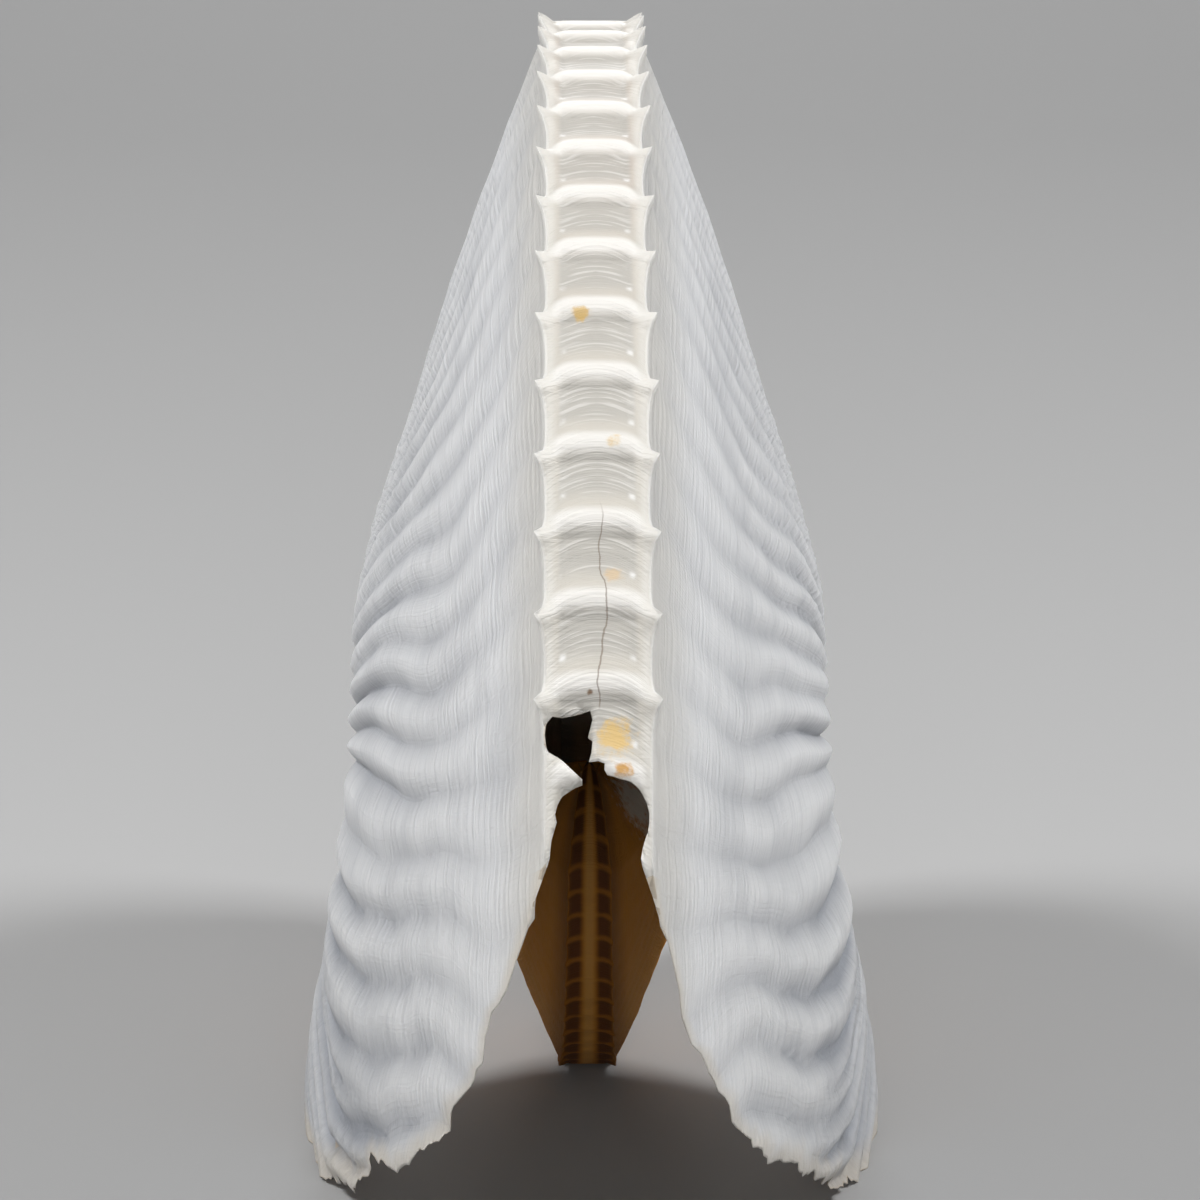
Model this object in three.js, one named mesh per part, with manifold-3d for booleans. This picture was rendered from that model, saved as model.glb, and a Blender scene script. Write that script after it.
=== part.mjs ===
// Paper nautilus shell: one thin, ribbed wall coiled in a flat spiral, with a narrow keel between two rows of
// pointed nodes, a broken front and two flared ears. It rests on its ear tips and on its early whorl.
// Millimetres, +Z up. The keel faces -Y and the coil axis lies along X.

import * as THREE from 'three';
import Module from 'manifold-3d';
import { mergeVertices } from 'three/addons/utils/BufferGeometryUtils.js';

const DEG = Math.PI / 180;

// Coil: the keel is a spiral about the X axis. Angle 0 is the broken front, and growth runs to larger angles.
const FRONT_RADIUS = 76.8;
const GROWTH_PER_TURN = 5;
const START_ANGLE = -400 * DEG;
const KEEL_END_ANGLE = 6.2 * DEG;
const EAR_END_ANGLE = 90 * DEG;

// Wall
const WALL = 0.7;
const WORN_DEPTH = 0.3;

// Keel: a flat strip with a raised edge, pointed nodes along the edge and a low bar between each pair
const KEEL_HALF_WIDTH = 3.4;
const KEEL_WIDTH_POWER = 0.33;
const YOUNG_KEEL_SLOPE = 0.088;
const YOUNG_KEEL_BLEND = 6;
const WINDOW_SHARE = 0.78;
const WINDOW_DEPTH = 0.3;
const BAR_RISE = 0.25;
const NODE_SPACING = 5.5;
const NODE_SPACING_MAX = 5.8 * DEG;
const NODE_RISE = 1.0;
const NODE_LEAN = 0.35;
const EDGE_RISE = 0.25;
const LAST_NODE_ANGLE = -2 * DEG;

// Flanks: half width falls from the shoulder to the keel, and curls in to a pinhole at the axis
const FLANK_SLOPE = 0.357;
const FLANK_MAX = 17.7;
const FLANK_BLEND = 8;
const FLANK_POWER = 1.65;
const SHOULDER = 0.15;
const PINHOLE = 0.018;
const PINHOLE_WIDTH_SHARE = 0.6;
const FLANK_STOPS = [PINHOLE, 0.07, SHOULDER, 0.32, 0.5, 0.68, 0.85, 1];
const SLOPE_STEP = 0.01;

// Ribs: crests and valleys take turns, and each rib bows forward on the flank
const RIB_CREST = 0.45;
const RIB_VALLEY = -0.25;
const RIB_BOW = 17 * DEG;
const RIB_FULL_RADIUS = 45;
const RIB_FADE_IN = [0.03, 0.35];
const RIB_FADE_OUT = [0.75, 1];
const RIB_KEEL_FADE = 0.75;
const EAR_RIB_GROWTH = 0.06;

// Ears: the flank flares out beside the opening
const EAR_FLARE = 4.8;
const EAR_FLARE_ANGLES = [-5 * DEG, 80 * DEG];
const EAR_FLARE_RISE = [0, 0.3];
const EAR_FLARE_FALL = [0.34, 0.85];
const EAR_FLUTE = 0.02;

// Free edge of the opening: share of the keel radius that the flank still reaches at each row angle
const LIP = [[6.2, 1], [8.5, 0.932], [12.8, 0.845], [16, 0.772], [21.3, 0.68], [27.5, 0.58], [34.4, 0.49],
  [45, 0.412], [55, 0.352], [64, 0.285], [70, 0.225], [78, 0.145], [90, 0.08]];

// Broken keel, as seen from the front: X and Z from the coil axis
const HOLE = [[-3.4, 3.6], [-2.8, 4.2], [-0.5, 4.5], [0, 4.3], [-0.9, 3.1], [-0.1, 2.4], [-0.6, 1.3], [0.4, 1.2],
  [0.5, 0.4], [1.4, 0.2], [1.4, -0.5], [-0.6, -0.5], [-0.8, 0.1], [-2.3, 1.45], [-3.4, 2.2]];
const NOTCH = [[-0.9, -0.1], [-2.3, -0.85], [-2.75, -1.7], [-2.95, -3.6], [-3.95, -7.3], [-4, -9.5], [4, -9.5],
  [3.5, -7.3], [2.6, -4.8], [3.1, -2.9], [3, -1.2], [2.1, 0.1], [1.3, 0.3], [0.2, -0.3]];
const BREAK_CUT_DEPTH = 14;

// Rest: the range of leans that is searched, and the block that the worn feet are ground off on
const LEAN_RANGE = [-40 * DEG, 40 * DEG];
const LEAN_ACCURACY = 1e-6;
const GROUND_WIDTH = 4 * FRONT_RADIUS;

const GROWTH_RATE = Math.log(GROWTH_PER_TURN) / (2 * Math.PI);

function keelRadius(angle) {
  return FRONT_RADIUS * Math.exp(GROWTH_RATE * angle);
}

function smoothStep(value, [low, high]) {
  return THREE.MathUtils.smoothstep(value, low, high);
}

// The lesser of two widths, with a smooth change from one to the other
function lesser(first, second, blend) {
  return first / (1 + (first / second) ** blend) ** (1 / blend);
}

// Half width of the keel: in proportion to the radius while young, then a power of it
function keelHalfWidth(radius) {
  const grown = KEEL_HALF_WIDTH * (radius / FRONT_RADIUS) ** KEEL_WIDTH_POWER;
  return lesser(grown, YOUNG_KEEL_SLOPE * radius, YOUNG_KEEL_BLEND);
}

// Half width at the shoulder: in proportion to the radius while young, then level
function shoulderHalfWidth(radius) {
  return lesser(FLANK_SLOPE * radius, FLANK_MAX, FLANK_BLEND);
}

function earFlare(angle, share) {
  const along = smoothStep(angle, EAR_FLARE_ANGLES);
  return EAR_FLARE * along * smoothStep(share, EAR_FLARE_RISE) * (1 - smoothStep(share, EAR_FLARE_FALL));
}

// Half width of the whorl at a share of the keel radius
function halfWidth(angle, share) {
  const radius = keelRadius(angle);
  const shoulder = shoulderHalfWidth(radius);
  const flank = shoulder - (shoulder - keelHalfWidth(radius)) * share ** FLANK_POWER;
  const curl = PINHOLE_WIDTH_SHARE + (1 - PINHOLE_WIDTH_SHARE) * smoothStep(share, [-SHOULDER / 2, SHOULDER]);
  return flank * curl + earFlare(angle, share);
}

// Point of the half plane at an angle about the coil axis
function coilPoint(x, radius, angle) {
  return new THREE.Vector3(x, -radius * Math.cos(angle), -radius * Math.sin(angle));
}

// Rows along the growth: valley, crest, valley and so on, with a valley first, at the keel's end and last
function makeRows() {
  const rows = [{ angle: KEEL_END_ANGLE, crest: false }];
  while (rows[0].angle > START_ANGLE) {
    const { angle } = rows[0];
    const pitch = Math.min(NODE_SPACING / keelRadius(angle), NODE_SPACING_MAX);
    rows.unshift({ angle: angle - pitch, crest: false }, { angle: angle - pitch / 2, crest: true });
  }
  const keelEnd = rows.length - 1;
  while (rows.at(-1).angle < EAR_END_ANGLE) {
    const { angle } = rows.at(-1);
    const pitch = NODE_SPACING / FRONT_RADIUS + EAR_RIB_GROWTH * angle;
    rows.push({ angle: angle + pitch / 2, crest: true }, { angle: angle + pitch, crest: false });
  }
  return { rows, keelEnd };
}

// Share of the keel radius that a row reaches
function lipShare(row) {
  const degrees = row.angle / DEG;
  const next = LIP.findIndex(([stop]) => stop > degrees);
  if (next === 0) return 1;
  if (next < 0) return LIP.at(-1)[1];
  const [low, high] = [LIP[next - 1], LIP[next]];
  const share = THREE.MathUtils.mapLinear(degrees, low[0], high[0], low[1], high[1]);
  return share * (1 + (row.crest ? EAR_FLUTE : -EAR_FLUTE));
}

// Outer and inner points of one row on one side, from the pinhole to the middle of the keel
function sectionPoints(row, side) {
  const reach = (lipShare(row) - PINHOLE) / (1 - PINHOLE);
  const points = FLANK_STOPS.map((stop) => flankPoint(row, side, PINHOLE + (stop - PINHOLE) * reach));
  if (row.angle <= KEEL_END_ANGLE) points.splice(-1, 1, ...keelPoints(row, side));
  return points;
}

function flankPoint(row, side, share) {
  const angle = row.angle + RIB_BOW * share * (1 - share);
  const radius = keelRadius(angle);
  const width = halfWidth(angle, share);
  const rise = halfWidth(angle, share + SLOPE_STEP) - halfWidth(angle, share - SLOPE_STEP);
  const slope = rise / (2 * SLOPE_STEP * radius);
  const normal = new THREE.Vector2(1, -slope).normalize();
  const fade = smoothStep(share, RIB_FADE_IN) * (1 - RIB_KEEL_FADE * smoothStep(share, RIB_FADE_OUT));
  const rib = (row.crest ? RIB_CREST : RIB_VALLEY) * fade * Math.min(1, radius / RIB_FULL_RADIUS);
  return {
    outer: coilPoint(side * (width + rib), radius * share, angle),
    inner: coilPoint(side * (width + rib - WALL * normal.x), radius * share - WALL * normal.y, angle),
  };
}

function keelPoints(row, side) {
  const radius = keelRadius(row.angle);
  const size = Math.min(1, radius / RIB_FULL_RADIUS);
  const half = keelHalfWidth(radius);
  const window = half * WINDOW_SHARE;
  const pointed = row.crest && row.angle < LAST_NODE_ANGLE;
  const edgeRise = size * (pointed ? NODE_RISE : EDGE_RISE);
  const edgeHalf = half + (pointed ? size * NODE_LEAN : 0);
  const floor = radius + size * (row.crest ? BAR_RISE : -WINDOW_DEPTH);
  const bevel = WALL * Math.SQRT1_2;
  return [
    {
      outer: coilPoint(side * edgeHalf, radius + edgeRise, row.angle),
      inner: coilPoint(side * (half - bevel), radius - bevel, row.angle),
    },
    {
      outer: coilPoint(side * window, floor, row.angle),
      inner: coilPoint(side * (window - bevel / 2), floor - WALL, row.angle),
    },
  ];
}

// Closed wall: outer sheet, inner sheet on every second row, an end wall at the start and a rim round the free edge
function wallGeometry() {
  const { rows, keelEnd } = makeRows();
  const positions = [];
  const triangles = [];
  const addPoint = (point) => positions.push(point.x, point.y, point.z) / 3 - 1;
  const addQuad = (a, b, c, d) => triangles.push(a, b, c, a, c, d);
  const startShift = coilPoint(0, WALL, START_ANGLE + Math.PI / 2);

  const sheet = rows.map((row, index) => [-1, 1].map((side) => sectionPoints(row, side).map((point) => {
    const even = index % 2 === 0;
    const inner = index === 0 ? point.inner.clone().add(startShift) : point.inner;
    return { outer: addPoint(point.outer), inner: even ? addPoint(inner) : -1 };
  })));

  // One strip of quads between two columns, whose first and last row are even
  function addStrip(first, last, left, right) {
    for (let i = first; i < last; i += 1) {
      addQuad(left(i).outer, left(i + 1).outer, right(i + 1).outer, right(i).outer);
    }
    for (let i = first; i < last; i += 2) {
      addQuad(left(i).inner, right(i).inner, right(i + 2).inner, left(i + 2).inner);
    }
  }

  // Rim along a column, between the outer edge and the coarser inner edge
  function addColumnRim(first, last, column, turned) {
    const add = (a, b, c) => (turned ? triangles.push(a, c, b) : triangles.push(a, b, c));
    for (let i = first; i < last; i += 2) {
      const [low, mid, high] = [column(i), column(i + 1), column(i + 2)];
      add(low.outer, low.inner, mid.outer);
      add(mid.outer, low.inner, high.inner);
      add(mid.outer, high.inner, high.outer);
    }
  }

  // Rim across a row, from one column to the next
  function addRowRim(from, to) {
    addQuad(from.outer, from.inner, to.inner, to.outer);
  }

  const last = rows.length - 1;
  const edge = FLANK_STOPS.length - 1;
  const at = (side, column) => (row) => sheet[row][side][column];
  for (let j = 0; j < edge; j += 1) {
    addStrip(0, last, at(0, j), at(0, j + 1));
    addStrip(0, last, at(1, j + 1), at(1, j));
    addRowRim(at(0, j)(last), at(0, j + 1)(last));
    addRowRim(at(1, j + 1)(last), at(1, j)(last));
  }
  addStrip(0, keelEnd, at(0, edge), at(0, edge + 1));
  addStrip(0, keelEnd, at(0, edge + 1), at(1, edge + 1));
  addStrip(0, keelEnd, at(1, edge + 1), at(1, edge));
  addRowRim(at(0, edge)(keelEnd), at(0, edge + 1)(keelEnd));
  addRowRim(at(0, edge + 1)(keelEnd), at(1, edge + 1)(keelEnd));
  addRowRim(at(1, edge + 1)(keelEnd), at(1, edge)(keelEnd));
  addColumnRim(0, last, at(0, 0), false);
  addColumnRim(keelEnd, last, at(0, edge), true);
  addColumnRim(keelEnd, last, at(1, edge), false);
  addColumnRim(0, last, at(1, 0), true);

  // End wall across the start of the coil
  for (let j = 0; j <= edge; j += 1) {
    const [a, b, c, d] = [at(0, j)(0), at(0, j + 1)(0), at(1, j + 1)(0), at(1, j)(0)];
    addQuad(a.outer, b.outer, c.outer, d.outer);
    addQuad(a.inner, d.inner, c.inner, b.inner);
  }
  addRowRim(at(1, 0)(0), at(0, 0)(0));

  const geometry = new THREE.BufferGeometry();
  geometry.setAttribute('position', new THREE.Float32BufferAttribute(positions, 3));
  geometry.setIndex(triangles);
  return geometry;
}

const wasm = await Module();
wasm.setup();

function toSolid(geometry) {
  const bare = geometry.clone();
  bare.deleteAttribute('normal');
  bare.deleteAttribute('uv');
  const merged = mergeVertices(bare);
  return new wasm.Manifold(new wasm.Mesh({
    numProp: 3,
    vertProperties: new Float32Array(merged.attributes.position.array),
    triVerts: new Uint32Array(merged.index.array),
  }));
}

function toGeometry(solid) {
  const mesh = solid.getMesh();
  const geometry = new THREE.BufferGeometry();
  geometry.setAttribute('position', new THREE.BufferAttribute(new Float32Array(mesh.vertProperties), 3));
  geometry.setIndex(new THREE.BufferAttribute(new Uint32Array(mesh.triVerts), 1));
  return geometry;
}

// Prism through the front of the keel, from its outline seen along +Y
function breakPrism(outline) {
  const shape = new THREE.Shape(outline.map(([x, z]) => new THREE.Vector2(x, z)));
  const prism = new THREE.ExtrudeGeometry(shape, { depth: BREAK_CUT_DEPTH, bevelEnabled: false });
  prism.rotateX(Math.PI / 2);
  prism.translate(0, BREAK_CUT_DEPTH / 2 - FRONT_RADIUS, 0);
  return prism;
}

// Lowest point of the ears and of the early whorl, once the shell is turned about the coil axis
function lowestPoints(position, lean) {
  const turn = new THREE.Euler(lean, 0, 0);
  const point = new THREE.Vector3();
  const lowest = { ears: Infinity, whorl: Infinity };
  for (let i = 0; i < position.count; i += 1) {
    point.fromBufferAttribute(position, i);
    const foot = point.y < 0 && point.z < 0 && Math.abs(point.x) > FLANK_MAX / 2 ? 'ears' : 'whorl';
    lowest[foot] = Math.min(lowest[foot], point.applyEuler(turn).z);
  }
  return lowest;
}

// Lean at which the ears and the early whorl touch the same level, found by halving the range
function restingLean(geometry) {
  let [low, high] = LEAN_RANGE;
  while (high - low > LEAN_ACCURACY) {
    const middle = (low + high) / 2;
    const { ears, whorl } = lowestPoints(geometry.attributes.position, middle);
    if (ears < whorl) [low, high] = [low, middle];
    else [low, high] = [middle, high];
  }
  return (low + high) / 2;
}

function shellGeometry() {
  let solid = toSolid(wallGeometry());
  for (const outline of [HOLE, NOTCH]) solid = solid.subtract(toSolid(breakPrism(outline)));
  const shell = toGeometry(solid);
  shell.rotateX(restingLean(shell));
  shell.computeBoundingBox();
  const { min, max } = shell.boundingBox;
  shell.translate(-(min.x + max.x) / 2, -(min.y + max.y) / 2, -min.z - WORN_DEPTH);

  const ground = new THREE.BoxGeometry(GROUND_WIDTH, GROUND_WIDTH, FRONT_RADIUS);
  ground.translate(0, 0, -FRONT_RADIUS / 2);
  return toGeometry(toSolid(shell).subtract(toSolid(ground)));
}

const shell = new THREE.Mesh(
  shellGeometry(),
  new THREE.MeshStandardMaterial({ color: 0xd6d5d0, roughness: 0.5, metalness: 0 }),
);
shell.name = 'shell';

const group = new THREE.Group();
group.add(shell);

export default group;
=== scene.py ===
"""Paper nautilus shell on a pale floor: ribbed wall, keel with nodes, finish, studio and camera."""
import logging
import math
from dataclasses import dataclass, field
from enum import Enum
from typing import Any

import bpy
import numpy as np
from mathutils import Matrix, Vector


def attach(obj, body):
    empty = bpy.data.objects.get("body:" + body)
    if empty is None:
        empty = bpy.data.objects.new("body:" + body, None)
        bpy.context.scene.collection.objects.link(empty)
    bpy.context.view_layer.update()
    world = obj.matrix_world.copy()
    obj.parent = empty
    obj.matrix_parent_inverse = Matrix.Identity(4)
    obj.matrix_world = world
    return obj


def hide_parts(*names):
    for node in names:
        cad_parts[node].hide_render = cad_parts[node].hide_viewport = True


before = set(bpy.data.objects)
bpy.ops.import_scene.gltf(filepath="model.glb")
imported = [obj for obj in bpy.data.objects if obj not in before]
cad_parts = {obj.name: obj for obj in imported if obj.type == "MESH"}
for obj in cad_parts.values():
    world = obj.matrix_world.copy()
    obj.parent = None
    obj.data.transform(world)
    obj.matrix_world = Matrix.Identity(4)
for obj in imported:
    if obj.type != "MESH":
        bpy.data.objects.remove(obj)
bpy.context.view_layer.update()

MM = 0.001
TINY = 1e-9
LOG = logging.getLogger("paper_nautilus")


class Side(Enum):
    """The two flanks, by the sign of X."""

    LEFT = -1
    RIGHT = 1

    def columns(self, count: int) -> slice:
        """Which of a grid's columns lie on this side.

        Args:
            count: number of columns, left ones first.

        Returns:
            The side's half of them.
        """
        half = count // 2
        return slice(0, half) if self is Side.LEFT else slice(half, count)


def smooth_step(value: np.ndarray, low: float, high: float) -> np.ndarray:
    """Cubic step from 0 at low to 1 at high.

    Args:
        value: numbers to step.
        low: where the step starts.
        high: where the step ends.

    Returns:
        Array of the same shape, 0 to 1.
    """
    share = np.clip((value - low) / (high - low), 0.0, 1.0)
    return share * share * (3.0 - 2.0 * share)


@dataclass(frozen=True)
class Coil:
    """The flat spiral that the keel follows, and how the shell leans as it rests.

    Lengths are millimetres and angles radians.
    """

    front_radius: float = 76.8
    growth_per_turn: float = 5.0
    lean: float = math.radians(-12.974)
    axis_y: float = 19.831
    axis_z: float = 25.386

    def keel_radius(self, angle: np.ndarray) -> np.ndarray:
        """Radius of the keel: the front radius times the growth per turn to the power of the turns.

        Args:
            angle: growth angle.

        Returns:
            Radius in millimetres.
        """
        return self.front_radius * np.exp(math.log(self.growth_per_turn) / math.tau * angle)

    def place(self, x: np.ndarray, radius: np.ndarray, angle: np.ndarray) -> np.ndarray:
        """Points of the coil, upright: Y is minus radius times cosine, Z is minus radius times sine.

        Args:
            x: distance from the middle plane.
            radius: distance from the coil axis.
            angle: growth angle, 0 at the broken front.

        Returns:
            Array with a last axis of X, Y and Z, before the lean.
        """
        axes = np.broadcast_arrays(x, -radius * np.cos(angle), -radius * np.sin(angle))
        return np.stack(axes, axis=-1)

    def matrix(self) -> Matrix:
        """Turn and shift from the upright coil to the frame of the resting shell, in millimetres."""
        shift = Matrix.Translation((0.0, self.axis_y, self.axis_z))
        return shift @ Matrix.Rotation(self.lean, 4, "X")

    def rest(self, points: np.ndarray) -> np.ndarray:
        """Upright coil points as they rest: turned by the lean and shifted to the axis.

        Args:
            points: array with a last axis of X, Y and Z, in millimetres.

        Returns:
            Array of the same shape, in metres.
        """
        turn = np.array(self.matrix())
        return (points @ turn[:3, :3].T + turn[:3, 3]) * MM


@dataclass(frozen=True)
class Break:
    """Outlines of the broken keel as seen from the front: X and Z from the coil axis, in millimetres."""

    hole: tuple = (
        (-3.45, 3.5), (-2.9, 4.15), (-2.2, 4.05), (-1.5, 4.2), (-0.5, 4.5), (0.05, 4.42), (-0.5, 3.8),
        (-0.45, 3.5), (-0.9, 3.1), (-0.55, 2.75), (-0.1, 2.4), (-0.25, 2.0), (-0.75, 1.65),
        (-0.5, 1.15), (0.1, 1.45), (0.4, 1.25), (0.35, 0.6), (0.9, 0.45), (1.5, 0.25), (1.4, -0.5),
        (-0.6, -0.5), (-0.8, 0.05), (-1.4, 0.6), (-2.3, 1.45), (-3.1, 1.9), (-3.5, 2.6))
    notch: tuple = (
        (-0.85, -0.05), (-1.6, -0.35), (-2.3, -0.85), (-2.75, -1.7), (-2.6, -2.4), (-2.95, -3.6),
        (-3.05, -4.8), (-3.5, -6.0), (-3.95, -7.3), (-4.0, -9.5), (3.95, -9.5), (3.75, -8.3),
        (3.45, -7.3), (3.0, -6.0), (2.6, -4.8), (2.75, -3.9), (3.1, -2.9), (3.2, -2.0), (3.0, -1.2),
        (2.6, -0.4), (2.0, 0.15), (1.2, 0.3), (0.2, -0.3))

    @staticmethod
    def nearest(points: np.ndarray, outline: tuple) -> tuple[np.ndarray, np.ndarray]:
        """Signed distance to a closed outline and the nearest point on it.

        The distance is the least over the outline's edges. It is minus where a ray crosses an odd number.

        Args:
            points: array of N points in the plane.
            outline: corner points of the outline.

        Returns:
            N signed distances, minus inside, and N nearest points.
        """
        start = np.array(outline)
        edge = np.roll(start, -1, axis=0) - start
        away = points[:, None, :] - start[None, :, :]
        along = np.clip((away * edge).sum(-1) / (edge * edge).sum(-1), 0.0, 1.0)
        foot = start + along[..., None] * edge
        gap = np.linalg.norm(points[:, None, :] - foot, axis=-1)
        best = gap.argmin(axis=1)
        index = np.arange(len(points))
        above = start[:, 1] > points[:, 1, None]
        above_next = np.roll(start, -1, axis=0)[:, 1] > points[:, 1, None]
        rise = np.where(edge[:, 1] == 0.0, 1.0, edge[:, 1])
        cross_x = start[:, 0] + (points[:, 1, None] - start[:, 1]) / rise * edge[:, 0]
        inside = ((above != above_next) & (points[:, 0, None] < cross_x)).sum(axis=1) % 2 == 1
        return np.where(inside, -1.0, 1.0) * gap[index, best], foot[index, best]


@dataclass
class Shell:
    """The whole egg case as one wall.

    Lengths are millimetres, angles radians, and shares are of the keel radius. A pair of angles or shares is
    where a smooth step starts and ends. A wave is its height and its speeds along the growth and outward.
    """

    coil: Coil = field(default_factory=Coil)
    gap: Break = field(default_factory=Break)
    seed: int = 7

    start_angle: float = math.radians(-352.0)
    keel_end_angle: float = math.radians(6.2)
    ear_end_angle: float = math.radians(90.0)
    nose_angle: float = math.radians(26.0)
    nose_least: float = 0.004
    nose_middle: float = 0.6

    wall: float = 0.5
    keel_wall: float = 0.95
    keel_wall_shares: tuple = (0.9, 0.97)
    lip_wall: float = 0.12
    lip_taper: tuple = (0.0, 0.07)
    break_wall: float = 0.15
    break_taper: float = 1.2
    break_angle: float = math.radians(10.0)
    break_width: float = 7.0
    break_snap: float = 0.4
    far_from_break: float = 9.0

    keel_half_width: float = 3.4
    keel_width_power: float = 0.33
    young_keel_slope: float = 0.088
    young_keel_blend: float = 6.0
    node_spacing: float = 5.5
    node_spacing_max: float = math.radians(5.8)
    node_rise: float = 1.1
    node_lean: float = 0.7
    node_front: float = 0.15
    node_back: float = 0.07
    node_power: float = 1.5
    node_across: tuple = (0.74, 1.0)
    node_shares: tuple = (0.978, 1.0)
    last_node_angle: float = math.radians(-2.0)
    last_node_blur: float = 0.02
    edge_drop: float = 0.25
    edge_across: tuple = (0.7, 1.0)
    edge_flank_shares: tuple = (0.96, 1.0)
    bar_rise: float = 0.26
    bar_arch: float = 0.21
    bar_width: float = 0.12
    bar_ends: tuple = (0.85, 1.0)
    window_depth: float = 0.36
    window_top: tuple = (0.05, 0.2)
    window_foot: tuple = (0.52, 0.96)
    window_sides: tuple = (0.6, 0.84)

    flank_slope: float = 0.357
    flank_max: float = 17.7
    flank_blend: float = 8.0
    flank_power: float = 1.65
    shoulder: float = 0.25
    swell: float = 0.9
    swell_start: float = 0.05
    swell_end: float = 0.55
    pinhole: float = 0.018
    pinhole_width_share: float = 0.6

    rib_height: float = 1.05
    rib_middle: float = 0.31
    rib_bow: float = math.radians(17.0)
    rib_full_radius: float = 45.0
    rib_rise_shares: tuple = (0.03, 0.3)
    rib_fall_shares: tuple = (0.28, 0.8)
    rib_fall: float = 0.82
    rib_fall_on_ear: float = 0.5
    rib_ear_angles: tuple = (math.radians(10.0), math.radians(45.0))
    still_shares: tuple = (0.95, 1.0)
    groove_power: float = 1.6
    groove_depths: tuple = (0.8, 1.1)
    faint_chance: float = 0.26
    faint_depth: float = 0.4
    faint_shares: tuple = (0.45, 0.65)
    knob_depth: float = 0.1
    knob_speed: float = 48.0
    knob_shares: tuple = (0.2, 0.4)

    fan_angle: float = math.radians(-2.0)
    fan_ahead: float = 1.38
    fan_behind: float = 0.65
    fan_far: float = math.radians(35.0)
    fan_strength: float = 1.7
    fan_shares: tuple = (-0.02, 0.74)
    fan_fade: tuple = (math.radians(30.0), math.radians(130.0))
    radial_share: float = 0.36
    radial_angles: tuple = (math.radians(20.0), math.radians(42.0))
    split_angles: tuple = (math.radians(30.0), math.radians(48.0))
    split_shares: tuple = (0.42, 0.6)
    split_depth: float = 0.95
    ear_ribs: float = 0.5
    smooth_angles: tuple = (math.radians(80.0), math.radians(140.0))
    smooth_shares: tuple = (0.3, 0.6)

    wave_count: int = 12
    wander_waves: tuple = ((0.1, 9.0, 13.0), (0.03, 21.0, -31.0))
    ripple_waves: tuple = ((1.0, 0.43, 6.0), (0.6, 0.91, -11.0))
    ripple_height: float = 0.08
    ripple_shares: tuple = (0.08, 0.3)
    fine_height: float = 0.05
    fine_outward: float = 61.0
    fine_bend: float = 1.3
    fine_speeds: tuple = (0.7, 1.9)
    calm_shares: tuple = (0.85, 1.0)

    ear_flare: float = 4.2
    flare_angles: tuple = (math.radians(-5.0), math.radians(80.0))
    flare_rise: tuple = (0.0, 0.3)
    flare_fall: tuple = (0.34, 0.85)
    lip_left: tuple = (
        (3.6, 1.0), (5.0, 0.978), (6.7, 0.942), (8.5, 0.926), (10.6, 0.861), (12.9, 0.837), (16.4, 0.752),
        (20.2, 0.7), (22.2, 0.663), (25.9, 0.607), (32.6, 0.5), (33.7, 0.475), (34.8, 0.49),
        (46.2, 0.404), (54.0, 0.355), (64.0, 0.288), (70.0, 0.23), (78.0, 0.15), (92.0, 0.08))
    lip_right: tuple = (
        (4.2, 1.0), (5.2, 0.99), (6.8, 0.968), (8.5, 0.937), (10.4, 0.91), (12.7, 0.853), (15.6, 0.792),
        (20.4, 0.697), (22.3, 0.664), (29.1, 0.554), (35.0, 0.487), (44.1, 0.419), (54.4, 0.356),
        (64.0, 0.288), (70.0, 0.23), (78.0, 0.15), (92.0, 0.08))
    lip_blur: float = 0.5
    lip_jag: float = 0.005
    lip_jag_start: float = 4.0
    lip_jag_speeds: tuple = (2.1, 3.7, 7.9, 13.3, 21.7)
    lip_jag_fall: float = 0.3
    lip_flute: float = 0.011
    lip_flute_degrees: tuple = (12.0, 40.0)

    front_steps: int = 10
    back_steps: int = 4
    ear_steps: int = 6
    front_limit: float = math.radians(-112.0)
    flank_strips: int = 30
    edge_shares: tuple = (0.93, 0.955, 0.97, 0.98, 0.988, 0.994, 1.0)
    keel_strips: int = 22

    def __post_init__(self) -> None:
        """Draws the values of each groove once, so that every run gives the same shell."""
        rng = np.random.default_rng(self.seed)
        self.marks = self.rib_marks()
        count = len(self.marks)
        self.groove_depth = {side: rng.uniform(*self.groove_depths, count) for side in Side}
        faint = {side: rng.uniform(size=count) < self.faint_chance for side in Side}
        self.groove_faint = {side: np.where(faint[side], self.faint_depth, 0.0) for side in Side}
        self.knob_phase = {side: rng.uniform(0.0, math.tau, count) for side in Side}
        self.waves = {side: rng.uniform(0.0, math.tau, self.wave_count) for side in Side}

    def rib_marks(self) -> np.ndarray:
        """Angles of the grooves where they meet the keel: one node spacing apart, or less when young.

        Returns:
            Rising angles from before the start of the coil to past the end of the ears.
        """
        marks = [self.keel_end_angle]
        while marks[0] > self.start_angle:
            pitch = min(self.node_spacing / self.coil.keel_radius(marks[0]), self.node_spacing_max)
            marks.insert(0, marks[0] - pitch)
        while marks[-1] < self.ear_end_angle:
            marks.append(marks[-1] + self.node_spacing / self.coil.front_radius)
        return np.array(marks)

    def rows(self) -> np.ndarray:
        """Rib coordinate of each row, with more rows to a rib where it shows.

        Returns:
            Rising numbers: whole ones are grooves, halves are crests.
        """
        steps = np.where(self.marks[:-1] < self.front_limit, self.back_steps, self.front_steps)
        steps = np.where(self.marks[:-1] >= self.keel_end_angle - TINY, self.ear_steps, steps)
        parts = [rib + np.arange(count) / count for rib, count in enumerate(steps)]
        return np.append(np.concatenate(parts), float(len(steps)))

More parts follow.
